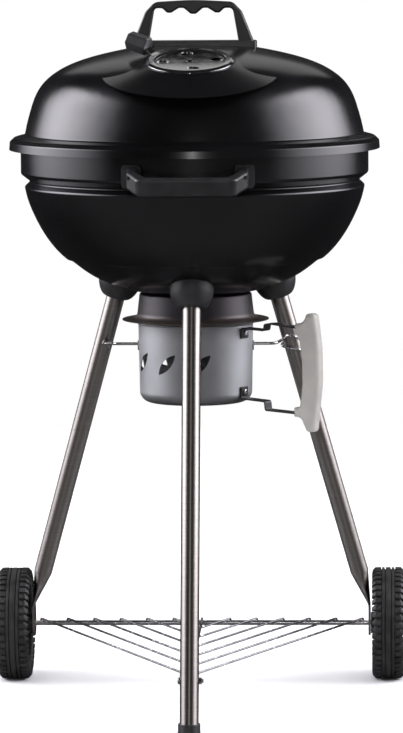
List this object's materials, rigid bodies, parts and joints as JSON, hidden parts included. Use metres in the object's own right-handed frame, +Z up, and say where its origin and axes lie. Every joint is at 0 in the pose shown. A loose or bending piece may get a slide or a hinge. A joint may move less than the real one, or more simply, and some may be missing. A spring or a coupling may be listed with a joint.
{
  "type": "kettle charcoal grill",
  "caption": "47 cm kettle charcoal grill: black enamelled bowl and lid, three legs, two wheels, wire shelf, ash bucket, two grates and a turning vent damper.",
  "frame": {"origin": "middle of the grill's bounding box, on the ground that the wheels and the front foot stand on", "axes": "+Z up, along the grill's height; +X to the right seen from the front, along the axle; the front foot is towards -Y and the wheels towards +Y"},
  "size_m": [0.5776, 0.5689, 0.948],
  "materials": {
    "kettle_enamel": "gloss",
    "black_paint": "satin",
    "black_plastic": "matte",
    "grey_plastic": "matte",
    "leg_steel": "brushed",
    "grate_steel": "satin",
    "dark_steel": "satin",
    "collar_steel": "satin",
    "damper_steel": "polished",
    "bright_wire": "polished",
    "bucket_aluminium": "satin",
    "tyre_black": "matte"
  },
  "bodies": {
    "stand": {"bowl": "kettle_enamel", "bowl_handle": "black_plastic", "bowl_handle_screws": "dark_steel", "front_leg_socket": "black_plastic", "left_leg_socket": "black_plastic", "right_leg_socket": "black_plastic", "leg_socket_screws": "dark_steel", "front_leg": "leg_steel", "left_leg": "leg_steel", "right_leg": "leg_steel", "front_foot_cap": "black_plastic", "axle": "bright_wire", "left_hub_cap": "black_plastic", "right_hub_cap": "black_plastic", "shelf_rod": "bright_wire", "shelf_bolt": "bright_wire", "shelf_nut": "bright_wire", "shelf_wire_1": "bright_wire", "shelf_wire_2": "bright_wire", "shelf_wire_3": "bright_wire", "shelf_wire_4": "bright_wire", "shelf_wire_5": "bright_wire", "shelf_wire_6": "bright_wire", "ash_collar": "collar_steel", "collar_screws": "dark_steel", "collar_nuts": "dark_steel", "left_bucket_pin": "bright_wire", "pin_nuts": "bright_wire", "right_bucket_spring": "bright_wire"},
    "lid": {"lid": "kettle_enamel", "lid_handle": "black_plastic", "lid_heat_shield": "black_paint", "lid_handle_screws": "dark_steel", "damper_rivet": "damper_steel"},
    "damper": {"vent_damper": "damper_steel", "damper_grip": "black_plastic"},
    "cooking_grate": {"cooking_grate": "grate_steel"},
    "charcoal_grate": {"charcoal_grate": "grate_steel"},
    "left_wheel": {"left_tyre": "tyre_black", "left_hub": "black_plastic"},
    "right_wheel": {"right_tyre": "tyre_black", "right_hub": "black_plastic"},
    "ash_catcher": {"ash_bucket": "bucket_aluminium", "upper_strap": "black_paint", "lower_strap": "black_paint", "strap_screws": "bright_wire", "bucket_grip": "grey_plastic"}
  },
  "joints": [
    {"name": "lid_lift", "type": "slide", "parent": "stand", "child": "lid", "axis": [0, 0, 1], "range_m": [0, 0.35]},
    {"name": "cooking_grate_lift", "type": "slide", "parent": "stand", "child": "cooking_grate", "axis": [0, 0, 1], "range_m": [0, 0.175]},
    {"name": "charcoal_grate_lift", "type": "slide", "parent": "stand", "child": "charcoal_grate", "axis": [0, 0, 1], "range_m": [0, 0.0875]},
    {"name": "damper_turn", "type": "hinge", "parent": "lid", "child": "damper", "pos_m": [0, -0.10014, 0.8704], "axis": [0, -0.2334, 0.9724], "range_deg": [-30, 15]},
    {"name": "left_wheel_spin", "type": "hinge", "parent": "stand", "child": "left_wheel", "pos_m": [-0.26, 0.17386, 0.0775], "axis": [1, 0, 0], "continuous": true},
    {"name": "right_wheel_spin", "type": "hinge", "parent": "stand", "child": "right_wheel", "pos_m": [0.26, 0.17386, 0.0775], "axis": [1, 0, 0], "continuous": true},
    {"name": "ash_catcher_slide", "type": "slide", "parent": "stand", "child": "ash_catcher", "axis": [1, 0, 0], "range_m": [0, 0.014]}
  ],
  "couplings": [
    {"joint": "cooking_grate_lift", "follows": "lid_lift", "ratio": 0.5},
    {"joint": "charcoal_grate_lift", "follows": "lid_lift", "ratio": 0.25}
  ]
}
